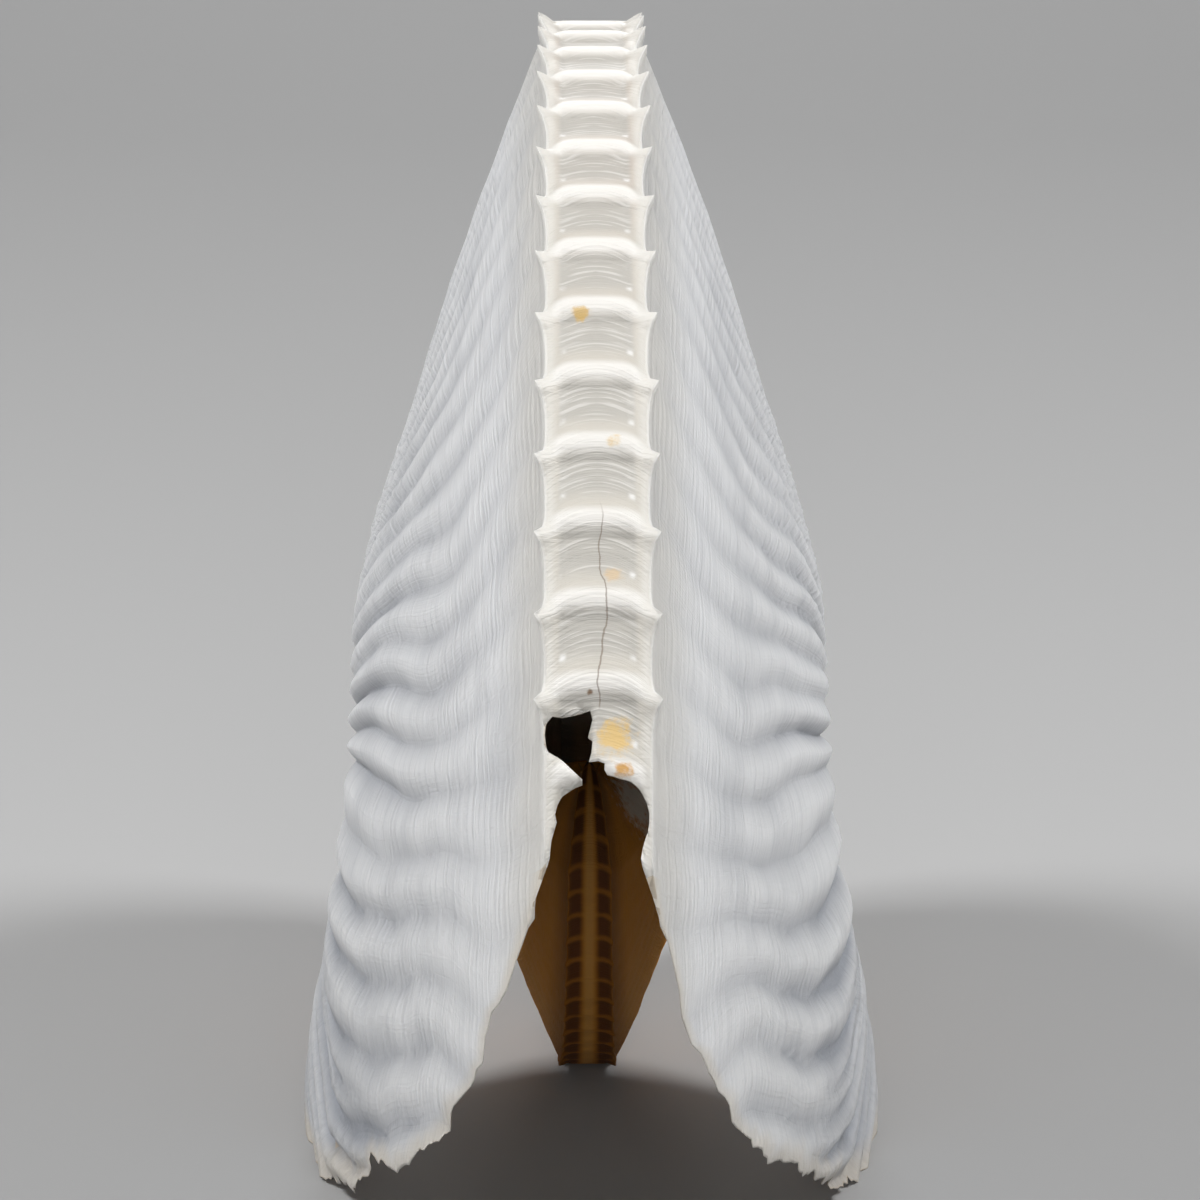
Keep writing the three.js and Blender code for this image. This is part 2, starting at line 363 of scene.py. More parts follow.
    def columns(self) -> tuple[np.ndarray, np.ndarray]:
        """Columns from the left pinhole over the keel to the right one.

        Returns:
            The share of the keel radius, 1 on the keel, and the place across the keel, from -1 to 1.
        """
        flank = np.linspace(self.pinhole, self.edge_shares[0], self.flank_strips, endpoint=False)
        share = np.concatenate([flank, self.edge_shares])
        across = np.sin(np.linspace(-math.pi / 2, math.pi / 2, self.keel_strips + 1))[1:-1]
        return (np.concatenate([share, np.ones_like(across), share[::-1]]),
                np.concatenate([-np.ones_like(share), across, np.ones_like(share)]))

    def keel_width(self, radius: np.ndarray) -> np.ndarray:
        """Half width of the keel: a power of the radius, and in proportion to the radius while young.

        Args:
            radius: radius of the keel.

        Returns:
            Half width in millimetres.
        """
        grown = self.keel_half_width * (radius / self.coil.front_radius) ** self.keel_width_power
        young = self.young_keel_slope * radius
        return grown / (1.0 + (grown / young) ** self.young_keel_blend) ** (1.0 / self.young_keel_blend)

    def half_width(self, angle: np.ndarray, share: np.ndarray) -> np.ndarray:
        """Half width of the whorl, without ribs.

        The shoulder grows with the radius and then levels off. From it the flank falls to the keel by a
        power of the share. Near the axis it swells a little and curls in to the pinhole. Beside the mouth the
        ear flares out.

        Args:
            angle: growth angle.
            share: share of the keel radius.

        Returns:
            Half width in millimetres.
        """
        radius = self.coil.keel_radius(angle)
        young = self.flank_slope * radius
        shoulder = young / (1.0 + (young / self.flank_max) ** self.flank_blend) ** (1.0 / self.flank_blend)
        flank = shoulder - (shoulder - self.keel_width(radius)) * share ** self.flank_power
        narrow = self.pinhole_width_share
        curl = narrow + (1.0 - narrow) * smooth_step(share, -self.shoulder / 2, self.shoulder)
        rise = smooth_step(share, self.swell_start, self.shoulder)
        swell = self.swell * rise * (1.0 - smooth_step(share, self.shoulder, self.swell_end))
        grown = np.minimum(1.0, radius / self.rib_full_radius)
        flare = smooth_step(angle, *self.flare_angles) * smooth_step(share, *self.flare_rise)
        flare = flare * (1.0 - smooth_step(share, *self.flare_fall))
        return flank * curl + swell * grown + self.ear_flare * flare

    def lip(self, rib: np.ndarray, angle: np.ndarray, side: Side) -> np.ndarray:
        """Share that a row reaches: a line through the lip's points, blurred, with flutes and small jags.

        Args:
            rib: rib coordinate of each row.
            angle: angle of each row.
            side: which flank.

        Returns:
            One share for each row, 1 where the keel is whole.
        """
        degrees = np.degrees(angle)
        stops, shares = zip(*(self.lip_left if side is Side.LEFT else self.lip_right))
        shifts = np.linspace(-self.lip_blur, self.lip_blur, 5)
        reach = np.mean([np.interp(degrees + shift, stops, shares) for shift in shifts], axis=0)
        free = smooth_step(degrees, stops[0], stops[0] + self.lip_jag_start)
        waves = zip(self.lip_jag_speeds, self.waves[side])
        jag = sum(np.sin(rib * speed + phase) / (1.0 + index * self.lip_jag_fall)
                  for index, (speed, phase) in enumerate(waves))
        flute = np.abs(np.sin(math.pi * rib)) * smooth_step(degrees, *self.lip_flute_degrees)
        torn = reach * (1.0 + free * (self.lip_jag * jag + self.lip_flute * (flute - 0.5)))
        return np.where(degrees <= stops[0], 1.0, torn)

    def rib_line(self, row_angle: np.ndarray, share: np.ndarray) -> np.ndarray:
        """Rib coordinate of the rib that runs through a point.

        Near the keel ribs follow the rows. Towards the axis they spread like a fan about the fan angle, wider
        ahead of it than behind it, and far behind they follow the rows again. On the ears they run straight
        out.

        Args:
            row_angle: angle of the point's row.
            share: share of the keel radius.

        Returns:
            Rib coordinate, a whole number in a groove.
        """
        outer = np.maximum(share, self.radial_share * smooth_step(row_angle, *self.radial_angles))
        spread = self.fan_strength * (1.0 - smooth_step(outer, *self.fan_shares))
        rest = row_angle - self.fan_angle
        ahead = rest / (1.0 + self.fan_ahead * spread)
        lean = self.fan_behind * self.fan_far * spread * (1.0 - smooth_step(-rest, *self.fan_fade))
        behind = np.minimum(rest / (1.0 + self.fan_behind * spread), rest + lean)
        angle = np.where(rest > 0.0, ahead, behind) + self.fan_angle
        return np.interp(angle, self.marks, np.arange(len(self.marks)))

    def wander(self, row_angle: np.ndarray, share: np.ndarray, side: Side) -> np.ndarray:
        """How far a groove strays from its line: a slow wave and a quick one that end at the keel.

        Args:
            row_angle: angle of the point's row.
            share: share of the keel radius.
            side: which flank.

        Returns:
            Distance in ribs.
        """
        waves = zip(self.wander_waves, self.waves[side][10:])
        stray = sum(height * np.sin(along * row_angle + outward * share + phase)
                    for (height, along, outward), phase in waves)
        return stray * (1.0 - smooth_step(share, *self.calm_shares))

    def grooves(self, line: np.ndarray, angle: np.ndarray, share: np.ndarray, side: Side) -> np.ndarray:
        """Depth of the grooves from 0 on a crest to about 1: narrow, uneven, some fainter below mid flank.

        On the ears a lesser groove splits each rib. Behind, near the axis, the ribs die out.

        Args:
            line: rib coordinate.
            angle: growth angle.
            share: share of the keel radius.
            side: which flank.

        Returns:
            Depth of each point.
        """
        nearest = np.clip(np.rint(line).astype(int), 0, len(self.marks) - 1)
        away = 2.0 * np.abs(line - nearest)
        faint = self.groove_faint[side][nearest] * (1.0 - smooth_step(share, *self.faint_shares))
        beat = np.sin(share * self.knob_speed + self.knob_phase[side][nearest])
        knob = 1.0 + self.knob_depth * beat * smooth_step(share, *self.knob_shares)
        main = np.clip(1.0 - away, 0.0, 1.0) ** self.groove_power * self.groove_depth[side][nearest]
        main = main * (1.0 - faint) * knob
        on_ear = smooth_step(angle, *self.split_angles) * (1.0 - smooth_step(share, *self.split_shares))
        lesser = self.split_depth * on_ear * np.clip(2.0 * away - 1.0, 0.0, 1.0) ** self.groove_power
        back = smooth_step(-angle, *self.smooth_angles) * (1.0 - smooth_step(share, *self.smooth_shares))
        return (main + lesser) * (1.0 - back)

    def rib_size(self, angle: np.ndarray, share: np.ndarray) -> np.ndarray:
        """Height of the ribs: none at the pinhole, most at the shoulder and on the ears, little at the keel.

        Args:
            angle: growth angle.
            share: share of the keel radius.

        Returns:
            Height from groove to crest in millimetres.
        """
        ear_fall = (self.rib_fall - self.rib_fall_on_ear) * smooth_step(angle, *self.rib_ear_angles)
        fall = (self.rib_fall - ear_fall) * smooth_step(share, *self.rib_fall_shares)
        fade = smooth_step(share, *self.rib_rise_shares) * (1.0 - fall)
        ear = 1.0 + self.ear_ribs * smooth_step(angle, *self.split_angles)
        grown = np.minimum(1.0, self.coil.keel_radius(angle) / self.rib_full_radius)
        return self.rib_height * fade * ear * grown

    def ripple(self, rib: np.ndarray, share: np.ndarray, side: Side) -> np.ndarray:
        """Slow unevenness of the wall, a sum of a few waves along and across the growth.

        Args:
            rib: rib coordinate.
            share: share of the keel radius.
            side: which flank.

        Returns:
            Height in millimetres.
        """
        phases = self.waves[side]
        broad = sum(height * np.sin(rib * along + share * outward + phase)
                    for (height, along, outward), phase in zip(self.ripple_waves, phases[6:8]))
        bend, beat = (np.sin(rib * speed + phase) for speed, phase in zip(self.fine_speeds, phases[8:10]))
        fine = np.sin(share * self.fine_outward + self.fine_bend * bend) * beat
        fade = smooth_step(share, *self.ripple_shares) * (1.0 - smooth_step(share, *self.calm_shares))
        return (self.ripple_height * broad + self.fine_height * fine) * fade

    def node_pull(self, rib: np.ndarray) -> np.ndarray:
        """Pointed profile of a node along the keel: a steep rise to the crest and a longer tail ahead of it.

        Args:
            rib: rib coordinate.

        Returns:
            Two exponentials that meet at the crest, about 1 there.
        """
        ahead = (rib - 0.5) - np.floor(rib - 0.5)
        return np.exp(-ahead / self.node_front) + np.exp((ahead - 1.0) / self.node_back)

    def keel_floor(self, rib: np.ndarray, across: np.ndarray) -> np.ndarray:
        """Relief of the strip between the nodes.

        Each pair of nodes is joined by an arched bar. Below the bar the floor drops to a hollow window and
        then rises slowly to the next bar. Beside the window a rim carries the bar out to the nodes.

        Args:
            rib: rib coordinate.
            across: place across the keel, -1 to 1.

        Returns:
            Radial height in millimetres.
        """
        arched = rib - 0.5 + self.bar_arch * (1.0 - across ** 4)
        ahead = arched - np.floor(arched)
        hollow = smooth_step(ahead, *self.window_top) * (1.0 - smooth_step(ahead, *self.window_foot))
        middle = self.bar_rise - (self.bar_rise + self.window_depth) * hollow
        from_bar = np.minimum(ahead, 1.0 - ahead)
        rim = self.bar_rise * np.exp(-(from_bar / self.bar_width) ** 2)
        rim = rim * (1.0 - smooth_step(np.abs(across), *self.bar_ends))
        outside = smooth_step(np.abs(across), *self.window_sides)
        return middle * (1.0 - outside) + rim * outside

    def surface(self, with_nodes: bool) -> dict[str, np.ndarray]:
        """Outer face of the wall on the grid of rows and columns.

        Args:
            with_nodes: whether the keel has its nodes, bars and windows.

        Returns:
            Upright points and the grid's own coordinates, each with rows first and columns second.
        """
        rib_row = self.rows()
        row_angle = np.interp(rib_row, np.arange(len(self.marks)), self.marks)
        share_col, across = self.columns()
        rib, across = np.meshgrid(rib_row, across, indexing="ij")
        share = np.broadcast_to(share_col, rib.shape).copy()
        on_keel = np.abs(across) < 1.0
        row = np.broadcast_to(row_angle[:, None], rib.shape)
        groove, ripple, rim = np.zeros_like(rib), np.zeros_like(rib), np.zeros_like(rib)
        for side in Side:
            cols = side.columns(rib.shape[1])
            reach = (self.lip(rib_row, row_angle, side) - self.pinhole) / (1.0 - self.pinhole)
            share[:, cols] = self.pinhole + (share[:, cols] - self.pinhole) * reach[:, None]
            rim[:, cols] = np.where(reach < 1.0, reach, 2.0)[:, None] - share[:, cols]
            line = self.rib_line(row[:, cols], share[:, cols])
            line = line + self.wander(row[:, cols], share[:, cols], side)
            turn = row[:, cols] + self.rib_bow * share[:, cols] * (1.0 - share[:, cols])
            cuts = self.grooves(line, turn, share[:, cols], side)
            rib[:, cols] = np.where(on_keel[:, cols], rib[:, cols], line)
            groove[:, cols] = np.where(on_keel[:, cols], 0.0, cuts)
            ripple[:, cols] = self.ripple(line, share[:, cols], side)
        angle = row + self.rib_bow * share * (1.0 - share)
        radius = self.coil.keel_radius(angle)
        relief = self.rib_size(angle, share) * (self.rib_middle - groove) + ripple
        relief = relief * (1.0 - smooth_step(share, *self.still_shares))
        flank_x = np.sign(across) * (self.half_width(angle, share) + relief)
        x = np.where(on_keel, across * self.keel_width(radius), flank_x)
        rho = radius * share
        if with_nodes:
            size = np.minimum(1.0, radius / self.rib_full_radius) ** 2
            size = size * (row <= self.keel_end_angle + TINY)
            rise, out = self.node_relief(rib, angle, share, across)
            rho = rho + size * rise
            x = x + size * out
        grown = np.clip((row_angle - row_angle[0]) / self.nose_angle, self.nose_least, 1.0)
        nose = np.sqrt(grown)[:, None]
        middle = self.nose_middle * radius
        points = self.coil.place(x * nose, middle + (rho - middle) * nose, angle)
        return {"points": points, "rib": rib, "share": share, "across": across, "angle": angle,
                "groove": groove, "rim": rim, "on_keel": on_keel}

    def node_relief(self, rib: np.ndarray, angle: np.ndarray, share: np.ndarray,
                    across: np.ndarray) -> tuple[np.ndarray, np.ndarray]:
        """How far nodes, bars and windows move the keel: tips pull out at its edges, which are rounded off.

        Args:
            rib: rib coordinate.
            angle: growth angle.
            share: share of the keel radius.
            across: place across the keel, -1 to 1.

        Returns:
            Radial shift and shift along X, in millimetres.
        """
        on_keel = np.abs(across) < 1.0
        tip = np.where(on_keel, smooth_step(np.abs(across), *self.node_across),
                       smooth_step(share, *self.node_shares)) ** self.node_power
        round_off = np.where(on_keel, smooth_step(np.abs(across), *self.edge_across),
                             smooth_step(share, *self.edge_flank_shares))
        end = (self.last_node_angle - self.last_node_blur, self.last_node_angle + self.last_node_blur)
        pull = self.node_pull(rib) * (1.0 - smooth_step(angle, *end))
        floor = np.where(on_keel, self.keel_floor(rib, across), 0.0)
        rise = tip * self.node_rise * pull - round_off * self.edge_drop + floor
        return rise, tip * self.node_lean * pull * np.sign(across)

    def break_distance(self, grid: dict[str, np.ndarray]) -> tuple[np.ndarray, np.ndarray]:
        """How far each point lies from the outline of the break, as seen from the front.

        Args:
            grid: the outer grid.

        Returns:
            Signed distances, minus inside the break, and the nearest points on it, as X and Z.
        """
        points = grid["points"]
        front = (np.abs(grid["angle"]) < self.break_angle) & (np.abs(points[..., 0]) < self.break_width)
        flat = points[front][:, [0, 2]]
        hole, hole_foot = Break.nearest(flat, self.gap.hole)
        notch, notch_foot = Break.nearest(flat, self.gap.notch)
        distance = np.full(points.shape[:2], self.far_from_break)
        distance[front] = np.minimum(hole, notch)
        foot = np.zeros(points.shape[:2] + (2,))
        foot[front] = np.where((hole < notch)[:, None], hole_foot, notch_foot)
        return distance, foot

    def break_keel(self, grid: dict[str, np.ndarray], inner: np.ndarray) -> np.ndarray:
        """Leaves out the broken front and draws the edge of what is left onto the outline of the break.

        Args:
            grid: the outer grid, whose points move.
            inner: inner points, which move with the outer ones and come closer to them at the break.

        Returns:
            Whether each cell of the grid is kept.
        """
        points = grid["points"]
        keel_cell = grid["on_keel"][:, :-1] | grid["on_keel"][:, 1:]
        past_end = grid["angle"][:-1, :-1] > self.keel_end_angle - TINY
        keep = ~(keel_cell[:-1] & past_end)
        distance, foot = self.break_distance(grid)
        full = smooth_step(np.abs(distance), 0.0, self.break_taper)
        thin = self.break_wall + (1.0 - self.break_wall) * full
        inner += (points - inner) * (1.0 - thin)[..., None]
        cell = (distance[:-1, :-1] + distance[1:, :-1] + distance[:-1, 1:] + distance[1:, 1:]) / 4.0
        cut = cell < 0.0
        touch_cut = np.zeros(distance.shape, bool)
        touch_keep = np.zeros(distance.shape, bool)
        for rows in (slice(0, -1), slice(1, None)):
            for cols in (slice(0, -1), slice(1, None)):
                touch_cut[rows, cols] |= cut & keep
                touch_keep[rows, cols] |= ~cut & keep
        rim = touch_cut & touch_keep & (np.abs(distance) < self.break_snap)
        shift = np.zeros_like(points)
        shift[rim, 0] = foot[rim, 0] - points[rim, 0]
        shift[rim, 2] = foot[rim, 1] - points[rim, 2]
        points += shift
        inner += shift
        return keep & ~cut

    @staticmethod
    def normals(points: np.ndarray) -> np.ndarray:
        """Unit normals of a grid, from the cross product of its two directions.

        Args:
            points: grid of points, rows first.

        Returns:
            Grid of unit vectors.
        """
        normal = np.cross(np.gradient(points, axis=0), np.gradient(points, axis=1))
        return normal / np.maximum(np.linalg.norm(normal, axis=-1, keepdims=True), TINY)

    def inner_face(self, grid: dict[str, np.ndarray]) -> np.ndarray:
        """Inner face of the wall: the outer one without nodes, moved in by a thickness that thins at the lip.

        Args:
            grid: the outer grid.

        Returns:
            Upright points on the same grid.
        """
        plain = self.surface(with_nodes=False)["points"]
        near_keel = smooth_step(grid["share"], *self.keel_wall_shares)[..., None]
        near_lip = 1.0 - smooth_step(grid["rim"], *self.lip_taper)[..., None]
        wall = self.wall + (self.keel_wall - self.wall) * near_keel
        return plain - (wall + (self.lip_wall - wall) * near_lip) * self.normals(plain)

    @staticmethod
    def wall_faces(keep: np.ndarray) -> np.ndarray:
        """Quads of a closed wall on two equal grids, the outer one first.

        Each kept cell gives an outer quad and a turned inner one, and each edge between a kept cell and a
        missing one gives a rim quad.

        Args:
            keep: whether each cell is kept.

        Returns:
            Array of quads, four point numbers each.
        """
        rows, cols = keep.shape[0] + 1, keep.shape[1] + 1
        number = np.arange(rows * cols).reshape(rows, cols)
        inside = rows * cols
        a, b, c, d = number[:-1, :-1], number[1:, :-1], number[1:, 1:], number[:-1, 1:]
        outer = np.stack([a, b, c, d], axis=-1)[keep]
        quads = [outer, outer[:, ::-1] + inside]
        padded = np.pad(keep, 1)
        here = padded[1:-1, 1:-1]
        for other, first, second in ((padded[1:-1, :-2], a, b), (padded[2:, 1:-1], b, c),
                                     (padded[1:-1, 2:], c, d), (padded[:-2, 1:-1], d, a)):
            edge = here & ~other
            start, end = first[edge], second[edge]
            quads.append(np.stack([end, start, start + inside, end + inside], axis=-1))
        return np.concatenate(quads)

    def build(self) -> bpy.types.Object:
        """Makes the shell's mesh with its attributes, in place.

        Returns:
            The new object, at the origin.
        """
        grid = self.surface(with_nodes=True)
        inner = self.inner_face(grid)
        keep = self.break_keel(grid, inner)
        points = self.coil.rest(np.concatenate([grid["points"].reshape(-1, 3), inner.reshape(-1, 3)]))
        points[:, 2] = np.maximum(points[:, 2], 0.0)
        used, quads = np.unique(self.wall_faces(keep), return_inverse=True)
        mesh = bpy.data.meshes.new("shell_wall")
        mesh.from_pydata(points[used], [], quads.reshape(-1, 4))
        names = ("rib", "share", "across", "groove", "rim")
        values = {name: np.tile(grid[name].ravel(), 2) for name in names}
        values["age"] = np.tile(np.degrees(grid["angle"]).ravel(), 2)
        values["inside"] = np.repeat([0.0, 1.0], grid["rib"].size)
        for name, value in values.items():
            layer = mesh.attributes.new(name, "FLOAT", "POINT")
            layer.data.foreach_set("value", value[used].astype(np.float32))
        mesh.polygons.foreach_set("use_smooth", np.ones(len(mesh.polygons), bool))
        mesh.validate()
        mesh.update()
        shell = bpy.data.objects.new("shell_wall", mesh)
        bpy.context.scene.collection.objects.link(shell)
        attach(shell, "root")
        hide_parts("shell")
        return shell


class Graph:
    """A material's node tree, with one way to add a node."""

    def __init__(self, name: str) -> None:
        """Starts a material with an empty node tree.

        Args:
            name: the material's name.
        """
        self.material = bpy.data.materials.new(name)
        self.material.use_nodes = True
        self.tree = self.material.node_tree
        self.tree.nodes.clear()

    def node(self, kind: str, settings: dict[str, Any] | None = None, **inputs: Any) -> bpy.types.Node:
        """Adds a node, sets it up and fills its sockets.

        Args:
            kind: Blender's name of the node type.
            settings: properties, set first.
            inputs: values, sockets or terms, by socket name with underscores for spaces, or by i0, i1, i2.

        Returns:
            The node.
        """
        made = self.tree.nodes.new(kind)
        for key, value in (settings or {}).items():
            setattr(made, key, value)
        for key, value in inputs.items():
            socket = made.inputs[int(key[1:])] if key[1:].isdigit() else made.inputs[key.replace("_", " ")]
            if isinstance(value, Term):
                self.tree.links.new(value.socket, socket)
            elif isinstance(value, bpy.types.NodeSocket):
                self.tree.links.new(value, socket)
            else:
                socket.default_value = value
        return made

    def term(self, node: bpy.types.Node, output: int | str = 0) -> "Term":
        """A node's output as a term of an expression."""
        return Term(self, node.outputs[output])

    def attribute(self, name: str) -> "Term":
        """A float attribute of the mesh."""
        return self.term(self.node("ShaderNodeAttribute", {"attribute_name": name}), "Fac")

    def noise(self, vector: Any, scale: float, detail: float = 3.0, rough: float = 0.5) -> "Term":
        """Noise from 0 to 1 on a vector."""
        inputs = {"Vector": vector, "Scale": scale, "Detail": detail, "Roughness": rough}
        return self.term(self.node("ShaderNodeTexNoise", None, **inputs), "Fac")

    def vector(self, x: Any, y: Any, z: Any) -> "Term":
        """A vector from three values."""
        return self.term(self.node("ShaderNodeCombineXYZ", None, X=x, Y=y, Z=z))

    def mix(self, factor: Any, first: Any, second: Any) -> "Term":
        """A colour between two.

        Args:
            factor: 0 for the first colour, 1 for the second.
            first: three numbers or a term.
            second: three numbers or a term.

        Returns:
            The mixed colour.
        """
        settings = {"data_type": "RGBA", "clamp_factor": True}
        made = self.node("ShaderNodeMix", settings, i0=factor, i6=self.colour(first), i7=self.colour(second))
        return self.term(made, 2)

    def layers(self, base: Any, *layers: tuple["Term", "Tint"]) -> "Term":
        """A colour with others laid over it, one after another.

        Args:
            base: the lowest colour, three numbers or a term.
            layers: for each, its mask from 0 to 1 and its tint.

        Returns:
            The colour on top.
        """
        colour = base
        for mask, tint in layers:
            colour = self.mix(mask * tint.strength, colour, tint.colour)
        return colour

    @staticmethod
    def colour(value: Any) -> Any:
        """A colour with alpha where it is three numbers."""
        return (*value, 1.0) if isinstance(value, tuple) and len(value) == 3 else value


class Term:
    """A value socket in an expression. Each operator adds a Math node."""

    def __init__(self, graph: Graph, socket: bpy.types.NodeSocket) -> None:
        """Wraps a socket of a graph."""
        self.graph = graph
        self.socket = socket

    def math(self, operation: str, *values: Any) -> "Term":
        """The result of a Math node on these values."""
        inputs = {f"i{index}": value for index, value in enumerate(values)}
        return self.graph.term(self.graph.node("ShaderNodeMath", {"operation": operation}, **inputs))

    def __add__(self, other: Any) -> "Term":
        """Sum."""
        return self.math("ADD", self, other)

    def __sub__(self, other: Any) -> "Term":
        """Difference."""
        return self.math("SUBTRACT", self, other)

    def __mul__(self, other: Any) -> "Term":
        """Product."""
        return self.math("MULTIPLY", self, other)

    def __truediv__(self, other: Any) -> "Term":
        """Quotient."""
        return self.math("DIVIDE", self, other)

    def __radd__(self, other: Any) -> "Term":
        """Sum with a number first."""
        return self.math("ADD", other, self)

    def __rsub__(self, other: Any) -> "Term":
        """Difference with a number first."""
        return self.math("SUBTRACT", other, self)

    def __rmul__(self, other: Any) -> "Term":
        """Product with a number first."""
        return self.math("MULTIPLY", other, self)

    def absolute(self) -> "Term":
        """Value without its sign."""
        return self.math("ABSOLUTE", self)

    def fraction(self) -> "Term":
        """Part after the decimal point."""
        return self.math("FRACT", self)

    def least(self, other: Any) -> "Term":
        """The smaller of two."""
        return self.math("MINIMUM", self, other)

    def step(self, low: float, high: float) -> "Term":
        """Smooth step from 0 at low to 1 at high.

        Args:
            low: where the step is 0. It may be the larger of the two.
            high: where the step is 1.

        Returns:
            The step, from 0 to 1.
        """
        settings = {"interpolation_type": "SMOOTHSTEP", "clamp": True}
        first, last, start, end = (low, high, 0.0, 1.0) if low < high else (high, low, 1.0, 0.0)
        made = self.graph.node("ShaderNodeMapRange", settings, i0=self, i1=first, i2=last, i3=start, i4=end)
        return self.graph.term(made)


@dataclass(frozen=True)
class Tint:
    """A colour, in linear light, and how strongly it is laid over what is below it."""

    colour: tuple
    strength: float = 1.0


@dataclass(frozen=True)
class Stain:
    """A spot: tint, angle in degrees, X and radius in millimetres, and share of the keel radius."""

    tint: Tint
    angle: float
    x: float
    radius: float
    share: float = 1.0


class WallTerms:
    """What the finish is mixed from: attributes, shared noises and the pattern of bars and windows.

    Noise scales are per metre of place, or per rib and per share of the keel radius. Steps are in degrees of
    age, in ribs ahead of a bar, and across the keel from 0 in its middle to 1 at its edge.
    """

    cloud_scale = 90.0
    grain_scale = 900.0
    ragged_scale = 1600.0
    old_blur = 40.0
    arc_bow = 0.3
    arcs_per_rib = 24.0
    lines_per_rib = 26.0
    streaks_per_share = 150.0

    def __init__(self, g: Graph, bar_arch: float) -> None:
        """Reads the mesh's attributes and Object coordinates and makes what the colours share.

        Args:
            g: the finish's graph.
            bar_arch: how far the middle of a bar lies from its ends, in ribs.
        """
        self.rib, self.share = g.attribute("rib"), g.attribute("share")
        self.across = g.attribute("across").absolute()
        self.age, self.inside = g.attribute("age"), g.attribute("inside")
        self.groove, self.rim = g.attribute("groove"), g.attribute("rim")
        self.place = g.term(g.node("ShaderNodeTexCoord"), "Object")
        self.on_keel = self.across.step(1.0, 0.94)
        self.cloud = g.noise(self.place, self.cloud_scale, 4.0)
        self.grain = g.noise(self.place, self.grain_scale, 3.0)
        self.old = (self.age + (self.cloud - 0.5) * self.old_blur).step(-110.0, -250.0)
        square = self.across * self.across
        self.ahead = (self.rib - 0.5 + bar_arch * (1.0 - square * square)).fraction()
        self.from_bar = self.ahead.least(1.0 - self.ahead)
        between_bars = self.ahead.step(0.08, 0.18) * self.ahead.step(0.85, 0.55)
        self.window = self.across.step(0.8, 0.66) * between_bars
        arc = (self.rib + self.arc_bow * (1.0 - square)) * self.arcs_per_rib
        self.arcs = g.noise(g.vector(arc, self.across * 0.8, 0.0), 1.0, 2.0)
        line = self.rib * self.lines_per_rib
        self.growth = g.noise(g.vector(line, self.share * 3.0, self.across * 1.5), 1.0, 2.0)
        streak = self.share * self.streaks_per_share
        self.streaks = g.noise(g.vector(self.rib * 0.6, streak, self.across), 1.0, 3.0)


